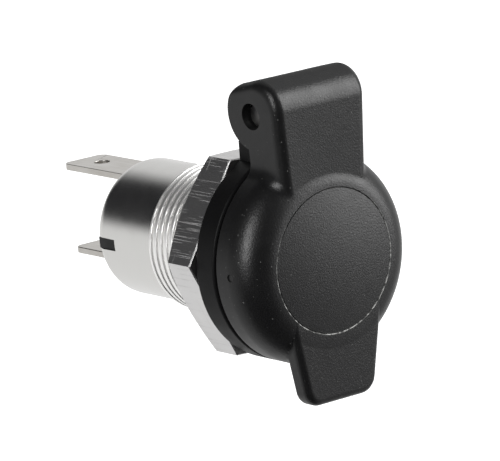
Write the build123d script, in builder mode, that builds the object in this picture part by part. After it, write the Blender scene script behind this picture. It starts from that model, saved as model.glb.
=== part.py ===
"""Panel socket for a 12 V plug: threaded barrel, clamping nut, moulded front and spring-shut lid.

The origin is where the barrel's axis meets the back face of the front flange, the face that seats
on the panel. +Y runs to the rear through the panel, -Y to the user, +Z up to the lid's hinge.
"""
from build123d import *
from math import acos, asin, atan2, cos, degrees, hypot, pi, radians, sin, tan
import os

os.makedirs("parts", exist_ok=True)

# Barrel and its thread
thread_diameter = 18.0
thread_end = 14.2  # rear end of the thread, behind the panel face
thread_runout = 0.5
thread_pitch = 1.0
thread_depth = 0.55
thread_flank = 30.0  # of each groove's sides, degrees
barrel_diameter = 16.8
barrel_rear = 24.7
barrel_wall = 0.75
barrel_rim_share = 0.8  # part of the wall that the rear rim's rounding takes
lip_diameter = 20.4  # collar that holds the flange from the front
lip_thickness = 1.1
lip_proud = 0.7  # collar's height above the flange's front
notch_width = 1.45
notch_length = 3.4
notch_turn = 3.6  # how the barrel happens to stand, degrees

# Clamping nut
nut_across_flats = 23.6
nut_thickness = 5.05
nut_stand = 0.3  # nut's face behind the flange, run up by hand
nut_turn = -2.7  # how the nut happens to stand, degrees
nut_chamfer_angle = 30.0
nut_face_diameter = 23.4  # circle that the turned cone leaves on the rear face
nut_edge_break = 0.14  # on the edges of the front face
nut_bore_chamfer = 0.7

# Front flange and hinge lug
flange_diameter = 25.8
flange_thickness = 3.35
flange_edge_round = 0.35
lug_width = 10.0
lug_height = 14.2  # above the barrel's axis
knuckle_width = 6.8
knuckle_radius = 2.5
ear_gap = 0.2  # between the knuckle and each ear
spring_slot = 3.8
spring_web = 0.6

# Hinge
hinge_forward = 5.0  # pin axis, in front of the panel face
hinge_height = 17.95
open_angle = 95.0
pin_diameter = 3.1
pin_recess = 1.15  # pin end below the ear's face
pin_end_chamfer = 0.2

# Lid
shut_gap = 0.55
lid_depth = 6.1
lid_round = 4.2
lid_wall = 1.9
lid_front_wall = 1.8
witness_width = 0.16
witness_depth = 0.08
ear_radius = 4.2
ear_start = 60.0  # where the ears' round begins, up from straight back, degrees
block_width = 13.8  # at the pin
neck_width = 13.2  # where the block runs into the cap
block_setback = 0.25  # block's front face behind the cap's
block_rise = 0.1  # crown of the block, above the ears' round
block_round = 3.6  # where the front rolls over to the top
block_edge_round = 1.25
block_foot_round = 2.2
thumb_reach = 17.0  # below the barrel's axis
thumb_top_width = 13.4
thumb_end_width = 10.2
thumb_setback = 0.4
thumb_thickness = 2.1
thumb_corner = 2.2
thumb_edge_round = 0.5
thumb_foot_round = 0.6
gate_diameter = 0.9
gate_depth = 0.15
gate_forward = 2.4  # gate mark, in front of the lid's rim

# Seal in the lid
seal_thickness = 1.2
seal_bead = 1.6
seal_bead_share = 0.4  # part of the bead's width that each edge's rounding takes
seal_gap = 0.2

# Contacts and insulator
socket_bore = 12.0
sheet = 0.8  # thickness of both stamped contacts
sleeve_length = 18.6
sleeve_recess = 0.45
sleeve_slit = 1.0
blade_width = 6.3
blade_rise = 0.1  # underside of the earth blade above the sleeve's bore
blade_corner = 1.0
blade_hole = 2.0
blade_hole_inset = 3.9
blade_neck_width = 3.6
blade_neck_length = 2.4
earth_blade_end = 37.5
positive_blade_end = 36.5
positive_blade_drop = 3.55  # upper face of the positive blade, below the axis
bend_radius = 0.6
insulator_rear = 24.5
key_recess = 0.2  # keys below the barrel's surface
tulip_diameter = 7.2
tulip_bore = 5.0
tulip_base = 0.8
tulip_length = 4.8
tulip_inset = 0.6  # tulip's mouth behind the end of the sleeve
tulip_slit = 0.6
tulip_room = 0.5  # round the tulip, for its fingers to spread
rivet_diameter = 3.2
rivet_head_diameter = 5.2
rivet_head_height = 0.6

# Torsion spring
spring_wire = 0.6
coil_diameter = 4.0  # to the middle of the wire
spring_turns = 3.25
spring_leg_down = 3.2
spring_leg_forward = 2.9

# Fits
fit_gap = 0.05  # pieces pushed into each other
thread_gap = 0.1  # flange and nut round the thread
pin_gap = 0.06  # ears on the pin
swing_gap = 0.3  # between pieces that turn past each other
stop_gap = 0.1  # lid's stop at full opening

# Radii and planes that follow from the sizes above
thread_radius = thread_diameter / 2
barrel_radius = barrel_diameter / 2
bore_radius = barrel_radius - barrel_wall
lip_radius = lip_diameter / 2
flange_radius = flange_diameter / 2
lid_radius = flange_radius
flange_front = -flange_thickness
lip_front = flange_front - lip_proud
lip_back = lip_front + lip_thickness
rim_y = flange_front - shut_gap
lid_front = rim_y - lid_depth
hinge_y = -hinge_forward
pin_radius = pin_diameter / 2
hinge = (hinge_y, hinge_height)
ear_inner = knuckle_width / 2 + ear_gap
block_top = ear_radius + block_rise
hinge_top = hinge_height + block_top
socket_radius = socket_bore / 2
sleeve_radius = socket_radius + sheet
sleeve_front = lip_front + sleeve_recess
sleeve_end = sleeve_front + sleeve_length
blade_low = socket_radius + blade_rise
rivet_radius = rivet_diameter / 2

# Barrel: drawn tube with a collar, a thread rolled on its front half and two key notches behind.
# Each turn of the thread is a ring, so that the solid keeps few faces.
crest_end = thread_end - thread_runout
thread_turns = int((crest_end - nut_stand) / thread_pitch)
groove_half = thread_depth * tan(radians(thread_flank))
thread_grooves = []
for turn in range(thread_turns):
    groove_middle = crest_end - (thread_turns - turn - 0.5) * thread_pitch
    thread_grooves += [
        (thread_radius, groove_middle - groove_half),
        (thread_radius - thread_depth, groove_middle),
        (thread_radius, groove_middle + groove_half),
    ]
with BuildPart() as barrel:
    with BuildSketch(Plane.XY):
        with BuildLine():
            Polyline(
                (bore_radius, lip_front),
                (lip_radius, lip_front),
                (lip_radius, lip_back),
                (thread_radius, lip_back),
                *thread_grooves,
                (thread_radius, crest_end),
                (barrel_radius, thread_end),
                (barrel_radius, barrel_rear),
                (bore_radius, barrel_rear),
                close=True,
            )
        make_face()
    revolve(axis=Axis.Y)
    rear_circles = barrel.edges().filter_by(GeomType.CIRCLE).group_by(Axis.Y)[-1]
    fillet(rear_circles.sort_by(SortBy.RADIUS)[-1], barrel_rim_share * barrel_wall)
    with BuildSketch(Plane.XZ.offset(-barrel_rear)):
        Rectangle(2 * barrel_diameter, notch_width, rotation=notch_turn)
    extrude(amount=notch_length, mode=Mode.SUBTRACT)
barrel.part.label = "barrel"
export_step(barrel.part, "parts/barrel.step")

# Hexagon nut: flat on the side that meets the panel, its corners turned to a cone behind
nut_flat_radius = nut_across_flats / 2
nut_face_radius = nut_face_diameter / 2
nut_rear = nut_stand + nut_thickness
nut_cone_radius = nut_face_radius + nut_thickness / tan(radians(nut_chamfer_angle))
with BuildPart() as hex_nut:
    with BuildSketch(Plane.XZ.offset(-nut_stand)):
        RegularPolygon(nut_flat_radius, 6, major_radius=False, rotation=nut_turn)
        Circle(thread_radius + thread_gap, mode=Mode.SUBTRACT)
    extrude(amount=-nut_thickness)
    chamfer(hex_nut.edges().filter_by(GeomType.CIRCLE), nut_bore_chamfer)
    front_edges = hex_nut.edges().filter_by(GeomType.LINE).group_by(Axis.Y)[0]
    chamfer(front_edges, nut_edge_break)
    with BuildSketch(Plane.XY):
        Polygon(
            (0, nut_stand),
            (nut_cone_radius, nut_stand),
            (nut_face_radius, nut_rear),
            (0, nut_rear),
            align=None,
        )
    revolve(axis=Axis.Y, mode=Mode.INTERSECT)
hex_nut.part.label = "hex_nut"
export_step(hex_nut.part, "parts/hex_nut.step")

# Back line of the hinge lug: from the lug's upper back corner it runs tangent to the knuckle.
# Angles are counted at the pin from straight down, through the rear, to straight up.
lug_corner_angle = atan2(hinge_forward, hinge_height - lug_height)
lug_corner_distance = hypot(hinge_forward, hinge_height - lug_height)
tangent_angle = lug_corner_angle + acos(knuckle_radius / lug_corner_distance)
tangent_point = (
    hinge_y + knuckle_radius * sin(tangent_angle),
    hinge_height - knuckle_radius * cos(tangent_angle),
)

# Web that the spring's lower leg bears on, and the room behind it for that leg
coil_radius = coil_diameter / 2
web_rear = hinge_y + coil_radius - spring_wire / 2 - fit_gap
knuckle_front = web_rear - spring_web
slot_floor = hinge_height - spring_leg_down - swing_gap

# Front flange: moulded ring round the barrel, with a wide lug that cradles the ears, a knuckle
# for the pin and a slot in the knuckle for the spring
lug_foot = (lip_radius + flange_radius) / 2
with BuildPart() as front_flange:
    with BuildSketch(Plane.XY):
        with BuildLine():
            Polyline(
                (thread_radius + thread_gap, 0),
                (flange_radius, 0),
                (flange_radius, flange_front),
                (lip_radius + thread_gap, flange_front),
                (lip_radius + thread_gap, lip_back),
                (thread_radius + thread_gap, lip_back),
                close=True,
            )
        make_face()
    revolve(axis=Axis.Y)
    outer_circles = front_flange.edges().filter_by(GeomType.CIRCLE).sort_by(SortBy.RADIUS)[-2:]
    fillet(outer_circles, flange_edge_round)
    with BuildSketch(Plane.XZ):
        with Locations((0, (lug_foot + lug_height) / 2)):
            Rectangle(lug_width, lug_height - lug_foot)
    extrude(amount=flange_thickness)
    with BuildSketch(Plane.YZ):
        with Locations(hinge):
            Circle(ear_radius + swing_gap)
    extrude(amount=lug_width, both=True, mode=Mode.SUBTRACT)
    with BuildSketch(Plane.YZ):
        with BuildLine():
            Polyline(
                (flange_front, lug_foot),
                (0, lug_foot),
                (0, lug_height),
                tangent_point,
                hinge,
                (knuckle_front, hinge_height),
                (knuckle_front, lug_height),
                (flange_front, lug_height),
                close=True,
            )
        make_face()
        with Locations(hinge):
            Circle(knuckle_radius)
    extrude(amount=knuckle_width / 2, both=True)
    with BuildSketch(Plane.YZ):
        with Locations(hinge):
            Circle(pin_radius)
    extrude(amount=knuckle_width, both=True, mode=Mode.SUBTRACT)
    with BuildSketch(Plane.YZ):
        with Locations(hinge):
            Circle(knuckle_radius + swing_gap)
        with BuildLine():
            Polyline(
                (web_rear, slot_floor),
                (hinge_forward, slot_floor),
                (hinge_forward, hinge_height + knuckle_radius),
                (web_rear, hinge_height + knuckle_radius),
                close=True,
            )
        make_face()
    extrude(amount=spring_slot / 2, both=True, mode=Mode.SUBTRACT)
front_flange.part.label = "front_flange"
export_step(front_flange.part, "parts/front_flange.step")

# Hinge pin, pressed through the knuckle and turned on by the ears
pin_half_length = block_width / 2 - pin_recess
with BuildPart() as hinge_pin:
    with BuildSketch(Plane.YZ):
        with Locations(hinge):
            Circle(pin_radius)
    extrude(amount=pin_half_length, both=True)
    chamfer(hinge_pin.edges().filter_by(GeomType.CIRCLE), pin_end_chamfer)
hinge_pin.part.label = "hinge_pin"
export_step(hinge_pin.part, "parts/hinge_pin.step")

# Hinge block of the lid: upright slab whose front rolls over the top and falls to ears that are
# round about the pin, a little narrower where it runs into the cap
cap_flat_radius = lid_radius - lid_round
round_y = lid_front + lid_round
block_front = lid_front + block_setback
block_roll = (block_front + block_round, hinge_top - block_round)
block_foot = lid_radius / 2
neck_angle = degrees(acos((rim_y - hinge_y) / ear_radius))
ear_point = (
    hinge_y + ear_radius * cos(radians(ear_start)),
    hinge_height + ear_radius * sin(radians(ear_start)),
)
ear_from_roll = (ear_point[0] - block_roll[0], ear_point[1] - block_roll[1])
roll_end = degrees(atan2(ear_from_roll[1], ear_from_roll[0]) + acos(block_round / hypot(*ear_from_roll)))
block_taper = (block_width - neck_width) / 2 / (hinge_height - lid_radius)
foot_half = neck_width / 2 - block_taper * (lid_radius - block_foot)
top_half = block_width / 2 + block_taper * block_top
with BuildPart() as hinge_block:
    with BuildSketch(Plane.YZ):
        with BuildLine():
            Polyline(
                (rim_y, hinge_height - ear_radius * sin(radians(neck_angle))),
                (rim_y, block_foot),
                (block_front, block_foot),
                (block_front, hinge_top - block_round),
            )
            crown = CenterArc(block_roll, block_round, 180, roll_end - 180)
            Line(crown @ 1, ear_point)
            CenterArc(hinge, ear_radius, ear_start, -ear_start - neck_angle)
        make_face()
    extrude(amount=block_width, both=True)
    with BuildSketch(Plane.XZ):
        Polygon(
            (-foot_half, block_foot),
            (foot_half, block_foot),
            (top_half, hinge_top),
            (-top_half, hinge_top),
            align=None,
        )
    extrude(amount=-2 * lid_front, both=True, mode=Mode.INTERSECT)
    side_faces = hinge_block.faces().sort_by(Axis.X)
    front_edges = [face.edges().sort_by(Axis.Y)[0] for face in (side_faces[0], side_faces[-1])]
    fillet(front_edges, block_edge_round)

# Coil of the lid's spring, spread over the lug's slot
coil_legs = (spring_leg_down + spring_leg_forward) / (2 * pi * coil_radius)
coil_pitch = (spring_slot - spring_wire - swing_gap) / (spring_turns + coil_legs)
coil_rise = coil_pitch / (2 * pi * coil_radius)
coil_start = spring_leg_down * coil_rise - coil_pitch * (spring_turns + coil_legs) / 2
coil_plane = Plane(origin=(coil_start, *hinge), x_dir=(0, 1, 0), z_dir=(1, 0, 0))

# Hollow of the cap, and the pocket between the ears: it clears the knuckle and the spring, and its
# roof ends in a flat that meets the back of the lug when the lid is fully open
cavity_radius = lid_radius - lid_wall
cavity_front = lid_front + lid_front_wall
cavity_round = lid_round - lid_wall
pocket_floor = lid_radius + swing_gap
leg_slot = spring_leg_forward + 2 * fit_gap
stop_angle = tangent_angle + radians(open_angle) - pi
stop_radius = knuckle_radius + stop_gap
stop_foot = (hinge_y - stop_radius * sin(stop_angle), hinge_height + stop_radius * cos(stop_angle))
stop_rear = (0, hinge_height + stop_radius / cos(stop_angle) + hinge_forward * tan(stop_angle))

# Thumb tab: flat plate below the cap, narrower towards its rounded end
thumb_front = lid_front + thumb_setback
thumb_slope = (thumb_top_width - thumb_end_width) / 2 / (thumb_reach - cap_flat_radius)
thumb_root_half = thumb_top_width / 2 + thumb_slope * (cap_flat_radius - block_foot)
with BuildPart() as thumb_tab:
    with BuildSketch(Plane.XZ.offset(-thumb_front)) as thumb_outline:
        Polygon(
            (-thumb_root_half, -block_foot),
            (thumb_root_half, -block_foot),
            (thumb_end_width / 2, -thumb_reach),
            (-thumb_end_width / 2, -thumb_reach),
            align=None,
        )
        fillet(thumb_outline.vertices().group_by(Axis.Y)[0], thumb_corner)
    extrude(amount=-thumb_thickness)
    outline_faces = [thumb_tab.faces().sort_by(Axis.Y)[0], thumb_tab.faces().sort_by(Axis.Y)[-1]]
    outline_edges = [edge for face in outline_faces for edge in face.edges().sort_by(Axis.Z)[:-1]]
    fillet(outline_edges, thumb_edge_round)


def on_cap(edge):
    """True for an edge where a piece meets the cap's wall or rounding, not for the cap's own circles."""
    points = [edge @ 0.2, edge @ 0.5, edge @ 0.8]
    depths = [
        hypot(hypot(p.X, p.Z) - cap_flat_radius, min(p.Y - round_y, 0)) - lid_round for p in points
    ]
    own_circle = any(
        all(abs(p.Y - y) < 1e-4 for p in points) for y in (rim_y, round_y, lid_front)
    )
    return max(abs(d) for d in depths) < 1e-3 and not own_circle


with BuildPart() as lid:
    with BuildSketch(Plane.XY):
        with BuildLine():
            Polyline(
                (lid_radius, round_y),
                (lid_radius, rim_y),
                (0, rim_y),
                (0, lid_front),
                (cap_flat_radius, lid_front),
            )
            CenterArc((cap_flat_radius, round_y), lid_round, -90, 90)
        make_face()
    revolve(axis=Axis.Y)
    add(hinge_block.part)
    add(thumb_tab.part)
    meeting_edges = lid.edges().filter_by(on_cap)
    fillet(meeting_edges.filter_by(lambda edge: edge.center().Z > block_foot), block_foot_round)
    meeting_edges = lid.edges().filter_by(on_cap)
    fillet(meeting_edges.filter_by(lambda edge: edge.center().Z < -block_foot), thumb_foot_round)
    with BuildSketch(Plane.XY):
        with BuildLine():
            Polyline(
                (cavity_radius, round_y),
                (cavity_radius, rim_y),
                (0, rim_y),
                (0, cavity_front),
                (cavity_radius - cavity_round, cavity_front),
            )
            CenterArc((cavity_radius - cavity_round, cavity_front + cavity_round), cavity_round, -90, 90)
            Line((cavity_radius, cavity_front + cavity_round), (cavity_radius, round_y))
        make_face()
    revolve(axis=Axis.Y, mode=Mode.SUBTRACT)
    with BuildSketch(Plane.YZ):
        with BuildLine():
            Polyline(
                hinge,
                stop_foot,
                stop_rear,
                (0, pocket_floor),
                (block_front + lid_wall, pocket_floor),
                (block_front + lid_wall, hinge_height),
                close=True,
            )
        make_face()
        with Locations(hinge):
            Circle(knuckle_radius + swing_gap)
    extrude(amount=ear_inner, both=True, mode=Mode.SUBTRACT)
    with BuildSketch(Plane.YZ):
        with Locations((hinge_y - leg_slot / 2, hinge_height + coil_radius)):
            Rectangle(leg_slot, spring_wire + 2 * fit_gap)
    extrude(amount=spring_slot / 2, both=True, mode=Mode.SUBTRACT)
    with BuildSketch(Plane.YZ):
        with Locations(hinge):
            Circle(pin_radius + pin_gap)
    extrude(amount=block_width, both=True, mode=Mode.SUBTRACT)
    with BuildSketch(Plane.XY):
        with BuildLine():
            Polyline(
                (cap_flat_radius - witness_width / 2, lid_front),
                (cap_flat_radius + witness_width / 2, lid_front),
                (cap_flat_radius, lid_front + witness_depth),
                close=True,
            )
        make_face()
    revolve(axis=Axis.Y, mode=Mode.SUBTRACT)
    with BuildSketch(Plane.YZ.offset(-lid_radius)):
        with Locations((rim_y - gate_forward, 0)):
            Circle(gate_diameter / 2)
    extrude(amount=gate_depth, mode=Mode.SUBTRACT)
lid.part.label = "lid"
export_step(lid.part, "parts/lid.step")

# Rubber pad in the lid, with a bead that closes the socket's mouth
seal_radius = cavity_radius - cavity_round
with BuildPart() as lid_seal:
    with BuildSketch(Plane.XY):
        with BuildLine():
            Polyline(
                (0, cavity_front),
                (seal_radius, cavity_front),
                (seal_radius, lip_front - seal_gap),
                (seal_radius - seal_bead, lip_front - seal_gap),
                (seal_radius - seal_bead, cavity_front + seal_thickness),
                (0, cavity_front + seal_thickness),
                close=True,
            )
        make_face()
    revolve(axis=Axis.Y)
    bead_end = lid_seal.edges().filter_by(GeomType.CIRCLE).group_by(Axis.Y)[-1]
    fillet(bead_end, seal_bead_share * seal_bead)
lid_seal.part.label = "lid_seal"
export_step(lid_seal.part, "parts/lid_seal.step")

# Torsion spring: coil round the pin, one leg down behind the lug's web, one leg forward into the lid
with BuildLine() as spring_line:
    Line((coil_radius, -spring_leg_down, -spring_leg_down * coil_rise), (coil_radius, 0, 0))
    Helix(coil_pitch, coil_pitch * spring_turns, coil_radius)
    Line(
        (0, coil_radius, coil_pitch * spring_turns),
        (-spring_leg_forward, coil_radius, coil_pitch * spring_turns + spring_leg_forward * coil_rise),
    )
spring_path = coil_plane.location * spring_line.wires()[0]
with BuildPart() as lid_spring:
    with BuildSketch(Plane(spring_path @ 0, z_dir=spring_path % 0)):
        Circle(spring_wire / 2)
    sweep(path=spring_path)
lid_spring.part.label = "lid_spring"
export_step(lid_spring.part, "parts/lid_spring.step")

# Insulator: moulded lining of the barrel with a thick rear wall. A flat on top lets the earth blade
# out, two keys lie in the barrel's notches and a stepped hole holds the centre contact.
blade_flat = blade_low - fit_gap
neck_start = sleeve_end - sheet
key_radius = barrel_radius - key_recess
key_front = barrel_rear - notch_length + fit_gap
tulip_front = sleeve_end + tulip_inset
tulip_rear = tulip_front + tulip_length
with BuildPart() as insulator:
    with BuildSketch(Plane.XY):
        with BuildLine():
            Polyline(
                (sleeve_radius + fit_gap, lip_front),
                (bore_radius - fit_gap, lip_front),
                (bore_radius - fit_gap, insulator_rear),
                (rivet_radius + fit_gap, insulator_rear),
                (rivet_radius + fit_gap, tulip_rear),
                (tulip_diameter / 2 + tulip_room, tulip_rear),
                (tulip_diameter / 2 + tulip_room, sleeve_end),
                (sleeve_radius + fit_gap, sleeve_end),
                close=True,
            )
        make_face()
    revolve(axis=Axis.Y)
    with BuildSketch(Plane.XZ.offset(-insulator_rear)):
        Rectangle(2 * key_radius, notch_width - 2 * fit_gap, rotation=notch_turn)
        Circle(bore_radius - 2 * fit_gap, mode=Mode.SUBTRACT)
    extrude(amount=insulator_rear - key_front)
    with BuildSketch(Plane.XZ.offset(-insulator_rear)):
        with Locations((0, blade_flat + bore_radius / 2)):
            Rectangle(blade_width + 2 * fit_gap, bore_radius)
    extrude(amount=insulator_rear - neck_start, mode=Mode.SUBTRACT)
insulator.part.label = "insulator"
export_step(insulator.part, "parts/insulator.step")

# Earth contact: sheet rolled to the sleeve that takes the plug, with a tongue that runs straight
# back as the upper blade
blade_start = neck_start + blade_neck_length
with BuildPart() as earth_contact:
    with BuildSketch(Plane.XZ.offset(-sleeve_front)):
        Circle(sleeve_radius)
        Circle(socket_radius, mode=Mode.SUBTRACT)
        with Locations((0, -sleeve_radius)):
            Rectangle(sleeve_slit, 2 * sleeve_radius, mode=Mode.SUBTRACT)
    extrude(amount=-sleeve_length)
    with BuildSketch(Plane.XY.offset(blade_low)) as earth_outline:
        with BuildLine():
            Polyline(
                (-blade_neck_width / 2, neck_start),
                (-blade_neck_width / 2, blade_start),
                (-blade_width / 2, blade_start),
                (-blade_width / 2, earth_blade_end),
                (blade_width / 2, earth_blade_end),
                (blade_width / 2, blade_start),
                (blade_neck_width / 2, blade_start),
                (blade_neck_width / 2, neck_start),
                close=True,
            )
        make_face()
        fillet(earth_outline.vertices().group_by(Axis.Y)[-1], blade_corner)
        with Locations((0, earth_blade_end - blade_hole_inset)):
            Circle(blade_hole / 2, mode=Mode.SUBTRACT)
    extrude(amount=sheet)
earth_contact.part.label = "earth_contact"
export_step(earth_contact.part, "parts/earth_contact.step")

# Positive blade: sheet bent to an angle, its upright foot riveted to the insulator's rear wall
blade_foot_rear = insulator_rear + sheet
positive_low = -positive_blade_drop - sheet
with BuildPart() as positive_blade:
    with BuildSketch(Plane.XZ.offset(-insulator_rear)):
        Circle(blade_width / 2)
        with Locations((0, positive_low / 2)):
            Rectangle(blade_width, -positive_low)
        Circle(rivet_radius + fit_gap, mode=Mode.SUBTRACT)
    extrude(amount=-sheet)
    with BuildSketch(Plane.XY.offset(-positive_blade_drop)) as positive_outline:
        with Locations((0, (insulator_rear + positive_blade_end) / 2)):
            Rectangle(blade_width, positive_blade_end - insulator_rear)
        fillet(positive_outline.vertices().group_by(Axis.Y)[-1], blade_corner)
        with Locations((0, positive_blade_end - blade_hole_inset)):
            Circle(blade_hole / 2, mode=Mode.SUBTRACT)
    extrude(amount=-sheet)
    cross_edges = positive_blade.edges().filter_by(Axis.X)
    fillet(cross_edges.sort_by_distance((0, blade_foot_rear, -positive_blade_drop))[0], bend_radius)
    cross_edges = positive_blade.edges().filter_by(Axis.X)
    fillet(cross_edges.sort_by_distance((0, insulator_rear, positive_low))[0], bend_radius + sheet)
positive_blade.part.label = "positive_blade"
export_step(positive_blade.part, "parts/positive_blade.step")

# Centre contact: turned tulip, slit crosswise, whose tail is riveted over behind the positive blade
tulip_radius = tulip_diameter / 2
rivet_top = blade_foot_rear + rivet_head_height
dome_radius = ((rivet_head_diameter / 2) ** 2 + rivet_head_height ** 2) / (2 * rivet_head_height)
dome_angle = degrees(asin(rivet_head_diameter / 2 / dome_radius))
with BuildPart() as centre_contact:
    with BuildSketch(Plane.XY):
        with BuildLine():
            Polyline(
                (tulip_bore / 2, tulip_front),
                (tulip_radius, tulip_front),
                (tulip_radius, tulip_rear),
                (rivet_radius, tulip_rear),
                (rivet_radius, blade_foot_rear),
                (rivet_head_diameter / 2, blade_foot_rear),
            )
            CenterArc((0, rivet_top - dome_radius), dome_radius, 90 - dome_angle, dome_angle)
            Polyline(
                (0, rivet_top),
                (0, tulip_rear - tulip_base),
                (tulip_bore / 2, tulip_rear - tulip_base),
                (tulip_bore / 2, tulip_front),
            )
        make_face()
    revolve(axis=Axis.Y)
    with BuildSketch(Plane.XZ.offset(-tulip_front)):
        Rectangle(2 * tulip_diameter, tulip_slit)
        Rectangle(tulip_slit, 2 * tulip_diameter)
    extrude(amount=-(tulip_length - tulip_base), mode=Mode.SUBTRACT)
centre_contact.part.label = "centre_contact"
export_step(centre_contact.part, "parts/centre_contact.step")
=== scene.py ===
import bmesh
import bpy
import numpy as np
from math import asin, degrees, pi, radians
from mathutils import Matrix, Vector


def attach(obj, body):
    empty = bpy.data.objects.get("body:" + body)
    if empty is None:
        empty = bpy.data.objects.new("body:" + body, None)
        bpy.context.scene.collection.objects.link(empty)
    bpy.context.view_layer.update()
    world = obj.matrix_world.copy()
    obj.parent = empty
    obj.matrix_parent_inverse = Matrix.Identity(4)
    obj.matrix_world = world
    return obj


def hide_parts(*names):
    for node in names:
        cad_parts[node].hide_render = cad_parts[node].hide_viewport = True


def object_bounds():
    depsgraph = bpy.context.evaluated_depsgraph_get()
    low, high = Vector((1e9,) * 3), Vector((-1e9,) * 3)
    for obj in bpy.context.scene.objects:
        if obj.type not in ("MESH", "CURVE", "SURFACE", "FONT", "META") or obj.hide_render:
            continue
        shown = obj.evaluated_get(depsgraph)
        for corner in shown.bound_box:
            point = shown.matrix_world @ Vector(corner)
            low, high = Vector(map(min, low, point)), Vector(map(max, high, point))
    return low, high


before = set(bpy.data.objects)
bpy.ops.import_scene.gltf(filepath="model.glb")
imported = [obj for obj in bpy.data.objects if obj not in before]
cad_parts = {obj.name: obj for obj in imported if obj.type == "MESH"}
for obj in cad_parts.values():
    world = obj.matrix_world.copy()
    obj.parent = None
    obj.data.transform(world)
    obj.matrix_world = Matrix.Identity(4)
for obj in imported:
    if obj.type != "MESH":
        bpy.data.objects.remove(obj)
cad_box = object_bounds()

# ---------------------------------------------------------------------------------------------
# Barrel: a drawn brass tube, satin nickel plated, with a collar turned out at its mouth.
# A right-hand thread of 1 mm pitch is rolled on its front half; two key notches are cut in its
# rear rim, where the insulator's keys lie.
collar_radius, thread_radius = 0.0102, 0.0090
tube_radius, bore_radius, rim_round, rim_length = 0.0084, 0.00765, 0.00065, 0.0013
collar_front, collar_back = -0.00405, -0.00295
thread_front, crest_end, thread_end = 0.0, 0.0137, 0.0142
notch_front, tube_rear = 0.0213, 0.0247
thread_pitch, groove_depth, groove_half, crest_crown = 0.001, 0.00032, 0.2, 0.00013
thread_start = 0.7  # share of a pitch by which the first groove is put back
notch_half_angle, notch_turn = degrees(asin(0.725 / 8.4)), 3.6
notch_pair, notch_clear = 0.1, 0.5  # degrees to each side of a notch's edge


def barrel_columns(count):
    """Angles round the tube in degrees, with a close pair at each side of a notch, and which of
    them lie inside a notch."""
    centres = np.array([notch_turn, 180 + notch_turn])
    sides = (centres[:, None] + np.array([-1, 1]) * notch_half_angle).ravel()
    pairs = (sides[:, None] + np.array([-notch_pair, notch_pair])).ravel()
    even = np.arange(count) * 360 / count
    clear = np.abs((even[:, None] - sides + 180) % 360 - 180).min(axis=1) > notch_clear
    angles = np.sort(np.concatenate([even[clear], pairs % 360]))
    from_notch = np.abs((angles[:, None] - centres + 180) % 360 - 180).min(axis=1)
    return np.radians(angles), from_notch < notch_half_angle


def thread_radii(angle, along):
    """Radius over the thread: broad crests, crowned by a square law of the distance from the
    groove in pitches, between narrow grooves of a squared cosine. A groove lies where the distance
    along the axis in pitches plus the share of a turn is whole, which makes a right-hand helix
    about +Y; it dies out on a cone at the thread's end."""
    phase = (along / thread_pitch + angle / (2 * pi) - thread_start) % 1
    from_groove = np.minimum(phase, 1 - phase)
    helix = thread_radius - crest_crown * (1 - 2 * from_groove) ** 2
    helix = helix - groove_depth * np.cos(pi / 2 * np.minimum(from_groove / groove_half, 1)) ** 2
    past_crests = (along - crest_end) / (thread_end - crest_end)
    cone = thread_radius - past_crests * (thread_radius - tube_radius)
    return np.clip(np.minimum(helix, cone), tube_radius, thread_radius)


def joined_skin(name, flat, quads):
    """Piece of these points and four-sided faces; points that fall together are merged, and edges
    sharper than 30 degrees stay sharp."""
    _, first, same = np.unique(np.round(flat, 9), axis=0, return_index=True, return_inverse=True)
    quads = same.reshape(-1)[quads]
    kept = [list(dict.fromkeys(quad)) for quad in quads.tolist()]
    mesh = bpy.data.meshes.new(name)
    mesh.from_pydata(flat[first].tolist(), [], [face for face in kept if len(face) > 2])
    mesh.shade_smooth()
    mesh.set_sharp_from_angle(angle=radians(30))
    piece = bpy.data.objects.new(name, mesh)
    bpy.context.scene.collection.objects.link(piece)
    return piece


def closed_grid(name, points):
    """Piece of a grid of points that closes on itself both ways, along the section and round."""
    columns, stations = points.shape[:2]
    index = np.arange(columns * stations).reshape(columns, stations)
    next_column = np.roll(index, -1, axis=0)
    quads = np.stack(
        [index, np.roll(index, -1, axis=1), np.roll(next_column, -1, axis=1), next_column], axis=-1
    ).reshape(-1, 4)
    return joined_skin(name, points.reshape(-1, 3), quads)


angles, in_notch = barrel_columns(200)
thread_along = np.linspace(thread_front, thread_end, 400)
rim_turn = np.linspace(0, pi / 2, 13)
mouth_radius = [bore_radius, collar_radius, collar_radius, thread_radius]
mouth_along = [collar_front, collar_front, collar_back, collar_back]
section_radius = np.concatenate([
    mouth_radius,
    np.full(thread_along.size, thread_radius),
    [tube_radius],
    tube_radius - rim_round + rim_round * np.cos(rim_turn),
    [bore_radius, bore_radius],
])
section_along = np.concatenate([
    mouth_along,
    thread_along,
    [notch_front],
    tube_rear - rim_length + rim_length * np.sin(rim_turn),
    [tube_rear, notch_front],
])
radius = np.tile(section_radius, (angles.size, 1))
along = np.tile(section_along, (angles.size, 1))
on_helix = slice(len(mouth_along), len(mouth_along) + thread_along.size)
radius[:, on_helix] = thread_radii(angles[:, None], thread_along)
along[in_notch] = np.minimum(along[in_notch], notch_front)
threaded_barrel = closed_grid(
    "threaded_barrel",
    np.stack([radius * np.cos(angles)[:, None], along, radius * np.sin(angles)[:, None]], axis=-1),
)


def start_finish(name, colour, metal, roughness):
    """A node material whose shader has this colour, metalness and roughness on its own sockets."""
    finish = bpy.data.materials.new(name)
    finish.use_nodes = True
    shader = finish.node_tree.nodes["Principled BSDF"]
    shader.inputs["Base Color"].default_value = (*colour, 1)
    shader.inputs["Metallic"].default_value = metal
    shader.inputs["Roughness"].default_value = roughness
    return finish, shader


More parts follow.
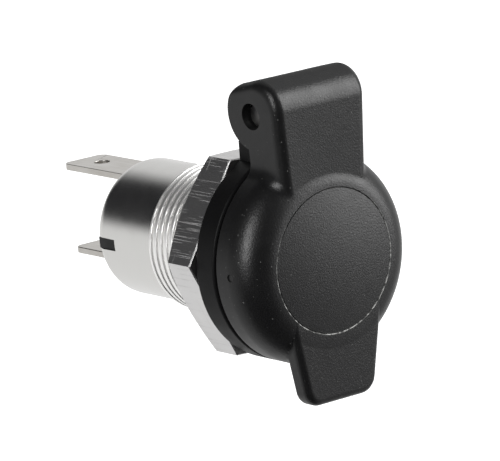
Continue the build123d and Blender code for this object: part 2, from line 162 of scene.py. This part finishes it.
def axes_of(finish, reading):
    """X, Y and Z of one reading of Texture Coordinate, such as Object or Normal."""
    place = finish.node_tree.nodes.new("ShaderNodeTexCoord")
    axes = finish.node_tree.nodes.new("ShaderNodeSeparateXYZ")
    finish.node_tree.links.new(place.outputs[reading], axes.inputs["Vector"])
    return axes.outputs


def stretched_place(finish, scale):
    """Object coordinates, each axis times its scale."""
    place = finish.node_tree.nodes.new("ShaderNodeTexCoord")
    stretch = finish.node_tree.nodes.new("ShaderNodeMapping")
    stretch.inputs["Scale"].default_value = scale
    finish.node_tree.links.new(place.outputs["Object"], stretch.inputs["Vector"])
    return stretch.outputs["Vector"]


def grain(finish, per_metre, detail):
    """Noise at Object coordinates, with this many grains in a metre along x, y and z."""
    noise = finish.node_tree.nodes.new("ShaderNodeTexNoise")
    noise.inputs["Scale"].default_value = 1.0
    noise.inputs["Detail"].default_value = detail
    finish.node_tree.links.new(stretched_place(finish, per_metre), noise.inputs["Vector"])
    return noise.outputs["Fac"]


def spread(finish, source, low, high, at_low, at_high):
    """The source's values from low to high, laid out from at_low to at_high and held there."""
    reach = finish.node_tree.nodes.new("ShaderNodeMapRange")
    for socket, value in zip(reach.inputs[1:5], (low, high, at_low, at_high)):
        socket.default_value = value
    finish.node_tree.links.new(source, reach.inputs["Value"])
    return reach.outputs["Result"]


def cloud(finish, per_metre, detail, at_low, at_high):
    """Noise from at_low to at_high, over the middle range where nearly all its values lie."""
    return spread(finish, grain(finish, per_metre, detail), 0.3, 0.7, at_low, at_high)


def combined(finish, way, *sources):
    """Math of this kind on the sources; a plain number is set on the node's own socket."""
    result = finish.node_tree.nodes.new("ShaderNodeMath")
    result.operation = way
    for socket, source in zip(result.inputs, sources):
        if isinstance(source, float):
            socket.default_value = source
        else:
            finish.node_tree.links.new(source, socket)
    return result.outputs["Value"]


def roughen(finish, shader, source):
    """Roughness that follows the source."""
    finish.node_tree.links.new(source, shader.inputs["Roughness"])


def relief(finish, shader, source, height):
    """Bumps on the shader's normal, this high in metres where the source goes from 0 to 1."""
    bump = finish.node_tree.nodes.new("ShaderNodeBump")
    bump.inputs["Strength"].default_value = 1.0
    bump.inputs["Distance"].default_value = height
    finish.node_tree.links.new(source, bump.inputs["Height"])
    earlier = shader.inputs["Normal"].links
    if earlier:
        finish.node_tree.links.new(earlier[0].from_socket, bump.inputs["Normal"])
    finish.node_tree.links.new(bump.outputs["Normal"], shader.inputs["Normal"])


def tint(finish, shader, source, colour, other):
    """Base colour between two colours, by the source from 0 to 1."""
    mix = finish.node_tree.nodes.new("ShaderNodeMix")
    mix.data_type = "RGBA"
    mix.inputs["A"].default_value = (*colour, 1)
    mix.inputs["B"].default_value = (*other, 1)
    finish.node_tree.links.new(source, mix.inputs["Factor"])
    finish.node_tree.links.new(mix.outputs["Result"], shader.inputs["Base Color"])


# The thread's colour is painted lighter than the tube's: a painted highlight for the light its
# crests catch.
tube_nickel, thread_painted_highlight = (0.61, 0.605, 0.59), (0.88, 0.875, 0.86)
tube_dull, tube_duller, thread_duller = 0.23, 0.27, 0.19
turning_lines = 0.0000006
satin_nickel, shader = start_finish("satin_nickel", tube_nickel, 1.0, 0.25)
tube_place = axes_of(satin_nickel, "Object")["Y"]
on_thread = combined(
    satin_nickel,
    "MULTIPLY",
    spread(satin_nickel, tube_place, collar_back, thread_front, 0, 1),
    spread(satin_nickel, tube_place, crest_end, thread_end, 1, 0),
)
# Painted highlight: the thread is painted in the lighter colour.
tint(satin_nickel, shader, on_thread, tube_nickel, thread_painted_highlight)
roughen(satin_nickel, shader, combined(
    satin_nickel,
    "ADD",
    cloud(satin_nickel, (500, 700, 500), 3, tube_dull, tube_duller),
    spread(satin_nickel, on_thread, 0, 1, 0, thread_duller),
))
relief(satin_nickel, shader, grain(satin_nickel, (400, 14000, 400), 2), turning_lines)
threaded_barrel.data.materials.append(satin_nickel)
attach(threaded_barrel, "socket")
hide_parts("barrel")

# ---------------------------------------------------------------------------------------------
# Insulator: a black moulded lining pushed into the barrel from behind. Its thick rear wall
# carries both contacts and its two keys show in the barrel's notches.
def dress(node, finish):
    """This finish alone on a CAD node's own skin."""
    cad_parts[node].data.materials.clear()
    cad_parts[node].data.materials.append(finish)


insulator_grain = 0.000012
insulator_black, shader = start_finish("insulator_black", (0.007, 0.007, 0.0074), 0.0, 0.5)
shader.inputs["Specular IOR Level"].default_value = 0.2
roughen(insulator_black, shader, cloud(insulator_black, (600, 600, 600), 3, 0.42, 0.58))
relief(insulator_black, shader, grain(insulator_black, (5000, 5000, 5000), 2), insulator_grain)
dress("insulator", insulator_black)

# ---------------------------------------------------------------------------------------------
# Contacts: sheet nickel-plated after stamping. The sleeve for the plug ends in the upper blade,
# the bent lower blade is riveted to the turned brass tulip that grips the plug's tip.
edge_wear, one_plane, edge_angle = 0.00009, radians(0.4), radians(50)
rolling_lines, tulip_lines = 0.0000012, 0.0000015


def merged_copy(node, name, sharp):
    """A CAD node's skin as a new piece: points that fall together are merged, edges of more than
    this many degrees stay sharp, and between them each face counts by its area."""
    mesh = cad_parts[node].data.copy()
    mesh.name = name
    skin = bmesh.new()
    skin.from_mesh(mesh)
    bmesh.ops.remove_doubles(skin, verts=skin.verts, dist=1e-7)
    skin.to_mesh(mesh)
    skin.free()
    mesh.attributes.remove(mesh.attributes["custom_normal"])
    mesh.shade_smooth()
    mesh.set_sharp_from_angle(angle=radians(sharp))
    mesh.materials.clear()
    piece = bpy.data.objects.new(name, mesh)
    bpy.context.scene.collection.objects.link(piece)
    even = piece.modifiers.new("even_shading", "WEIGHTED_NORMAL")
    even.mode = "FACE_AREA"
    even.keep_sharp = True
    return piece


def tumbled(piece, width):
    """Flat faces joined where they lie in one plane, and up to this width taken off the edges
    between them, as tumbling does after stamping. It comes before the even shading."""
    skin = bmesh.new()
    skin.from_mesh(piece.data)
    bmesh.ops.dissolve_limit(
        skin,
        angle_limit=one_plane,
        verts=skin.verts,
        edges=skin.edges,
        use_dissolve_boundaries=False,
    )
    skin.to_mesh(piece.data)
    skin.free()
    worn = piece.modifiers.new("worn_edges", "BEVEL")
    worn.width, worn.segments = width, 2
    worn.limit_method, worn.angle_limit = "ANGLE", edge_angle
    piece.modifiers.move(1, 0)


blade_nickel, shader = start_finish("blade_nickel", (0.5, 0.48, 0.45), 1.0, 0.33)
tint(
    blade_nickel,
    shader,
    cloud(blade_nickel, (350, 350, 350), 4, 0, 1),
    (0.465, 0.445, 0.415),
    (0.53, 0.515, 0.49),
)
roughen(blade_nickel, shader, cloud(blade_nickel, (2500, 250, 2500), 3, 0.28, 0.38))
relief(blade_nickel, shader, grain(blade_nickel, (7000, 300, 7000), 2), rolling_lines)
for node, name, slot in (
    ("earth_contact", "stamped_sleeve", "contact_metal"),
    ("positive_blade", "stamped_blade", "blade_metal"),
):
    stamping = merged_copy(node, name, 28)
    tumbled(stamping, edge_wear)
    stamping.data.materials.append(blade_nickel)
    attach(stamping, "socket")
    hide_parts(node)

tulip_brass, shader = start_finish("tulip_brass", (0.72, 0.55, 0.27), 1.0, 0.25)
tint(
    tulip_brass,
    shader,
    cloud(tulip_brass, (500, 500, 500), 4, 0, 1),
    (0.62, 0.45, 0.21),
    (0.76, 0.6, 0.32),
)
relief(tulip_brass, shader, grain(tulip_brass, (300, 12000, 300), 1), tulip_lines)
dress("centre_contact", tulip_brass)

# ---------------------------------------------------------------------------------------------
# Front flange: black glass-filled plastic, moulded round with a lug for the hinge, and held on the
# barrel by its collar. Its surface is dull with a fine grain.
flange_grain = 0.000008
flange_black, shader = start_finish("flange_black", (0.0035, 0.0035, 0.0037), 0.0, 0.46)
shader.inputs["Specular IOR Level"].default_value = 0.09
roughen(flange_black, shader, cloud(flange_black, (500, 500, 500), 3, 0.42, 0.5))
relief(flange_black, shader, grain(flange_black, (4200, 4200, 4200), 2), flange_grain)
dress("front_flange", flange_black)

# ---------------------------------------------------------------------------------------------
# Hinge pin and spring: a straight steel pin pressed through the knuckle, and a torsion spring of
# drawn wire coiled round it that shuts the lid.
pin_steel, shader = start_finish("pin_steel", (0.1, 0.1, 0.102), 1.0, 0.42)
roughen(pin_steel, shader, cloud(pin_steel, (900, 2500, 2500), 3, 0.3, 0.5))
oil_film = spread(pin_steel, grain(pin_steel, (900, 900, 900), 4), 0.35, 0.7, 0, 1)
tint(pin_steel, shader, oil_film, (0.08, 0.08, 0.082), (0.14, 0.137, 0.133))
dress("hinge_pin", pin_steel)

spring_wire, shader = start_finish("spring_wire", (0.5, 0.49, 0.475), 1.0, 0.28)
roughen(spring_wire, shader, cloud(spring_wire, (3000, 900, 900), 3, 0.22, 0.36))
tint(
    spring_wire,
    shader,
    cloud(spring_wire, (1200, 1200, 1200), 3, 0, 1),
    (0.42, 0.41, 0.4),
    (0.56, 0.55, 0.54),
)
dress("lid_spring", spring_wire)

# ---------------------------------------------------------------------------------------------
# Lid: one black moulding of cap, hinge block and thumb tab that turns on the pin. Its front has
# the mould's spark-eroded grain and its sides are smoother; a little dust lies on it, and the edge
# of the joint round the disc has pale specks, more of them lower down.
disc_radius, edge_half, crown_drop, disc_crown = 0.0087, 0.00006, 0.004, 0.0009
lid_colour, pale_plastic = (0.005, 0.005, 0.0052), (0.3, 0.3, 0.29)
side_dull, side_duller, front_smoother, top_duller = 0.38, 0.44, -0.06, 0.28
spark_grain, side_grain_share = 0.000026, 0.3
specks_above, specks_below, specks_least = 0.007, -0.002, 0.1
dust_strength = 0.26


def vector_step(finish, way, sources):
    """Vector Math of this kind, with each source on the socket of its number; a plain vector is
    set on the node itself."""
    step = finish.node_tree.nodes.new("ShaderNodeVectorMath")
    step.operation = way
    for number, source in sources.items():
        if isinstance(source, tuple):
            step.inputs[number].default_value = source
        else:
            finish.node_tree.links.new(source, step.inputs[number])
    return step.outputs


moulded_lid = merged_copy("lid", "moulded_lid", 28)
lid_black, shader = start_finish("lid_black", lid_colour, 0.0, side_dull)
shader.inputs["Specular IOR Level"].default_value = 0.28
facing = axes_of(lid_black, "Normal")
front_share = spread(lid_black, facing["Y"], -0.1, -0.45, 0, 1)
dullness = combined(
    lid_black,
    "ADD",
    cloud(lid_black, (700, 700, 700), 3, side_dull, side_duller),
    spread(lid_black, front_share, 0, 1, 0, front_smoother),
)
on_top = spread(lid_black, facing["Z"], 0.75, 0.97, 0, top_duller)
roughen(lid_black, shader, combined(lid_black, "ADD", dullness, on_top))
texture = combined(
    lid_black,
    "MULTIPLY",
    grain(lid_black, (4600, 4600, 4600), 3),
    spread(lid_black, front_share, 0, 1, side_grain_share, 1),
)
relief(lid_black, shader, texture, spark_grain)

# The disc is crowned by the square of the distance from a point below its middle; past its edge
# the height is that of the edge.
flat_place = stretched_place(lid_black, (1, 0, 1))
from_axis = vector_step(lid_black, "LENGTH", {0: flat_place})["Value"]
held = combined(lid_black, "MINIMUM", combined(lid_black, "DIVIDE", disc_radius, from_axis), 1.0)
on_disc = vector_step(lid_black, "SCALE", {0: flat_place, 3: held})["Vector"]
from_crown = vector_step(lid_black, "ADD", {0: on_disc, 1: (0, 0, crown_drop)})["Vector"]
squared = vector_step(lid_black, "DOT_PRODUCT", {0: from_crown, 1: from_crown})["Value"]
crown = spread(lid_black, squared, 0, (disc_radius + crown_drop) ** 2, 1, 0)
relief(lid_black, shader, crown, disc_crown)

# Pale specks along the edge of the joint round the disc, more of them lower down and only on faces
# to the front.
on_edge = combined(lid_black, "COMPARE", from_axis, disc_radius + edge_half, edge_half)
lid_height = axes_of(lid_black, "Object")["Z"]
low_edge = spread(lid_black, lid_height, specks_above, specks_below, specks_least, 1)
edge_speck_noise = spread(lid_black, grain(lid_black, (1500, 1500, 1500), 2), 0.42, 0.58, 0.15, 1)
pale_edge_specks = on_edge
for share in (low_edge, edge_speck_noise, front_share):
    pale_edge_specks = combined(lid_black, "MULTIPLY", pale_edge_specks, share)
dust_noise = grain(lid_black, (4400, 4400, 4400), 0)
dust = spread(lid_black, dust_noise, 0.82, 0.86, 0, dust_strength)
tint(lid_black, shader, combined(lid_black, "MAXIMUM", dust, pale_edge_specks), lid_colour, pale_plastic)
moulded_lid.data.materials.append(lid_black)
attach(moulded_lid, "lid")
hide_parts("lid")

# The tab's face swells nearly to the cap's, with a wide rounding along its outline.
lid_front, cap_round, tab_setback = cad_box[0][1], 0.0042, 0.0004
tab_top_half, tab_end_half, tab_reach, tab_corner = 0.0067, 0.0051, 0.0170, 0.0022
tab_root, tab_end_share = 0.00455, 0.64  # root below the axis; straight share of the lower end
swell_start, swell_setback, swell_round, swell_bury = 0.00882, 0.00006, 0.0009, 0.0003
swell_columns, swell_rows = 97, 81
tab_slope = (tab_top_half - tab_end_half) / (tab_reach - disc_radius)


def tab_swell(across, down):
    """Face of the thumb tab, across from side to side and down from the disc to the tab's outline,
    in straight runs. Behind the cap's face it is as deep as the cap's own rounding or the tab's
    setback, whichever is less, brought down to the swelling's setback, and near the tab's
    outline it falls away by a quarter circle of the distance from it."""
    lean = np.arctan(tab_slope)
    corner_z = tab_corner - tab_reach
    corner_x = tab_end_half + tab_slope * tab_corner - tab_corner / np.cos(lean)
    round_share = np.clip((np.abs(across) - tab_end_share) / (1 - tab_end_share), 0, 1)
    turn = round_share * (pi / 2 - lean) - pi / 2
    straight_x = np.minimum(np.abs(across) / tab_end_share, 1) * corner_x
    end_x = np.sign(across) * (straight_x + tab_corner * np.cos(turn))
    end_z = corner_z + tab_corner * np.sin(turn)
    start_x = across * (tab_top_half + tab_slope * (disc_radius - tab_root))
    start_z = -np.sqrt(swell_start ** 2 - start_x ** 2)
    x, z = start_x + down * (end_x - start_x), start_z + down * (end_z - start_z)

    side = tab_corner - (tab_top_half + tab_slope * (disc_radius + z) - np.abs(x)) * np.cos(lean)
    foot = tab_corner - (tab_reach + z)
    skew = np.sin(lean)
    round_corner = np.sqrt((side ** 2 + foot ** 2 - 2 * skew * side * foot) / (1 - skew ** 2))
    in_corner = (side > skew * foot) & (foot > skew * side)
    inside = tab_corner - np.where(in_corner, round_corner, np.maximum(side, foot))
    short = swell_round - np.clip(inside, 0, swell_round)
    fall = swell_round - np.sqrt(swell_round ** 2 - short ** 2)

    beyond = np.clip(np.hypot(x, z) - disc_radius, 0, cap_round)
    rounding = cap_round - np.sqrt(cap_round ** 2 - beyond ** 2)
    depth = np.minimum(rounding, tab_setback) * swell_setback / tab_setback + fall
    return np.stack([x, lid_front + depth, z], axis=-1)


across, down = np.meshgrid(
    np.linspace(-1, 1, swell_columns), np.linspace(0, 1, swell_rows), indexing="ij"
)
swell_face = tab_swell(across, down)
swell_back = swell_face.copy()
swell_back[1:-1, 1:-1, 1] += swell_bury
index = np.arange(across.size).reshape(across.shape)
quads = np.stack(
    [index[:-1, :-1], index[:-1, 1:], index[1:, 1:], index[1:, :-1]], axis=-1
).reshape(-1, 4)
thumb_swell = joined_skin(
    "thumb_swell",
    np.concatenate([swell_face.reshape(-1, 3), swell_back.reshape(-1, 3)]),
    np.concatenate([quads, quads[:, ::-1] + across.size]),
)
thumb_swell.data.materials.append(lid_black)
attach(thumb_swell, "lid")

# ---------------------------------------------------------------------------------------------
# Lid seal: a soft black rubber pad with a round bead, moulded in one and pressed into the hollow
# of the lid. Its skin is matt.
seal_grain = 0.000012
seal_rubber, shader = start_finish("seal_rubber", (0.018, 0.018, 0.018), 0.0, 0.65)
roughen(seal_rubber, shader, cloud(seal_rubber, (800, 800, 800), 4, 0.55, 0.75))
relief(seal_rubber, shader, grain(seal_rubber, (6500, 6500, 6500), 3), seal_grain)
dress("lid_seal", seal_rubber)

# ---------------------------------------------------------------------------------------------
# Clamping nut: hexagon bar, cut off, threaded and nickel plated. The flats keep the fine lines of
# the drawn bar and the scratches of handling.
flat_dull, scratch_dull = 0.35, 0.6
drawing_lines, scratch_height = 0.0000012, 0.000006
nut_nickel, shader = start_finish("nut_nickel", (0.585, 0.58, 0.575), 1.0, 0.36)
crosswise = spread(nut_nickel, grain(nut_nickel, (9000, 140, 9000), 2), 0.64, 0.67, 0, 1)
lengthwise = spread(nut_nickel, grain(nut_nickel, (90, 5200, 90), 1), 0.72, 0.75, 0, 1)
scratch = combined(nut_nickel, "MAXIMUM", crosswise, lengthwise)
tint(
    nut_nickel,
    shader,
    cloud(nut_nickel, (240, 240, 240), 4, 0, 1),
    (0.56, 0.555, 0.555),
    (0.61, 0.605, 0.6),
)
roughen(nut_nickel, shader, spread(nut_nickel, scratch, 0, 1, flat_dull, scratch_dull))
relief(nut_nickel, shader, grain(nut_nickel, (2200, 140, 2200), 3), drawing_lines)
relief(nut_nickel, shader, scratch, scratch_height)
dress("hex_nut", nut_nickel)

# ---------------------------------------------------------------------------------------------
# Camera: a long lens in front of the lid, to the left and a little above.
azimuth, elevation, roll = radians(-38.725), radians(12.60), radians(-4.376)
look_at, distance = Vector((-0.00722, -0.00365, 0.00427)), 0.5535
turned = Matrix.Rotation(azimuth, 3, "Z") @ Matrix.Rotation(pi / 2 - elevation, 3, "X")
turned = turned @ Matrix.Rotation(roll, 3, "Z")
camera = bpy.data.objects.new("camera", bpy.data.cameras.new("camera"))
camera.data.sensor_width = 36.0
camera.data.lens = 340.09
camera.data.clip_start, camera.data.clip_end = 0.01, 100.0
camera.matrix_world = Matrix.Translation(look_at + turned.col[2] * distance) @ turned.to_4x4()
bpy.context.scene.collection.objects.link(camera)
bpy.context.scene.camera = camera

# ---------------------------------------------------------------------------------------------
# Studio: a wide white floor below the part and a white room, with dark cloths hung up on the left
# and behind the camera for the gloss to mirror, and a soft box to each side of the camera.
floor_height, floor_half, floor_glow = -0.09, 6.0, 0.8
room_light, cloth_colour = 0.25, (0.02, 0.02, 0.022)
floor_mesh = bpy.data.meshes.new("floor")
floor_mesh.from_pydata(
    [
        (-floor_half, -floor_half, floor_height),
        (floor_half, -floor_half, floor_height),
        (floor_half, floor_half, floor_height),
        (-floor_half, floor_half, floor_height),
    ],
    [],
    [(0, 1, 2, 3)],
)
floor = bpy.data.objects.new("floor", floor_mesh)
bpy.context.scene.collection.objects.link(floor)
floor.visible_glossy = False


def ray_kind(finish, kind):
    """1 for a ray of this kind, 0 for any other."""
    return finish.node_tree.nodes.new("ShaderNodeLightPath").outputs[kind]


def seen_rays(finish):
    """1 for a ray that the camera, a mirror or glass sends out, 0 for one that only lights."""
    sent = combined(
        finish, "MAXIMUM", ray_kind(finish, "Is Camera Ray"), ray_kind(finish, "Is Glossy Ray")
    )
    return combined(finish, "MAXIMUM", sent, ray_kind(finish, "Is Transmission Ray"))


floor_white, shader = start_finish("floor_white", (0.8, 0.8, 0.8), 0.0, 0.9)
shader.inputs["Specular IOR Level"].default_value = 0.0
shader.inputs["Emission Color"].default_value = (1, 1, 1, 1)
glow = spread(floor_white, seen_rays(floor_white), 0, 1, 0, floor_glow)
floor_white.node_tree.links.new(glow, shader.inputs["Emission Strength"])
floor_mesh.materials.append(floor_white)

world = bpy.data.worlds.new("studio")
world.use_nodes = True
bpy.context.scene.world = world
nodes, links = world.node_tree.nodes, world.node_tree.links
room = nodes["Background"]
room.inputs["Color"].default_value = (1, 1, 1, 1)
room.inputs["Strength"].default_value = room_light
walls = nodes.new("ShaderNodeBackground")
walls.inputs["Strength"].default_value = 1.0

direction = axes_of(world, "Generated")
above = spread(world, direction["Z"], 0.02, 0.2, 0, 1)
left = spread(world, direction["X"], 0.3, 0.0, 0.12, 1)
front = spread(world, direction["Y"], 0.3, -0.05, 0, 1)
front_low = spread(world, direction["Z"], 0.55, 0.2, 0.5, 1)
front_left = spread(world, direction["X"], 0.65, 0.2, 0.3, 1)
front_cloth = combined(world, "MULTIPLY", combined(world, "MULTIPLY", front, front_low), front_left)
left_cloth = combined(world, "MULTIPLY", above, left)
cloth = combined(world, "MAXIMUM", left_cloth, front_cloth)
cloth = combined(world, "MULTIPLY", cloth, ray_kind(world, "Is Glossy Ray"))
wall_colour = nodes.new("ShaderNodeMix")
wall_colour.data_type = "RGBA"
wall_colour.inputs["A"].default_value = (1, 1, 1, 1)
wall_colour.inputs["B"].default_value = (*cloth_colour, 1)
links.new(cloth, wall_colour.inputs["Factor"])
links.new(wall_colour.outputs["Result"], walls.inputs["Color"])
shown = nodes.new("ShaderNodeMixShader")
links.new(seen_rays(world), shown.inputs["Fac"])
links.new(room.outputs["Background"], shown.inputs[1])
links.new(walls.outputs["Background"], shown.inputs[2])
links.new(shown.outputs["Shader"], nodes["World Output"].inputs["Surface"])


def soft_box(name, towards, reach, wide, high, watts):
    """Upright lamp of this width and height out along a direction from the part, facing it."""
    lamp = bpy.data.lights.new(name, "AREA")
    lamp.shape = "RECTANGLE"
    lamp.size, lamp.size_y = wide, high
    lamp.energy = watts
    holder = bpy.data.objects.new(name, lamp)
    out = Vector(towards).normalized()
    holder.location = out * reach
    holder.rotation_mode = "QUATERNION"
    holder.rotation_quaternion = out.to_track_quat("Z", "Y")
    holder.visible_camera = False
    bpy.context.scene.collection.objects.link(holder)


soft_box("left_box", (-0.86, -0.32, 0.40), reach=0.6, wide=0.17, high=0.4, watts=3.2)
soft_box("right_box", (0.70, -0.61, 0.36), reach=1.2, wide=0.6, high=1.12, watts=20.5)
bpy.context.scene.view_settings.view_transform = "Standard"
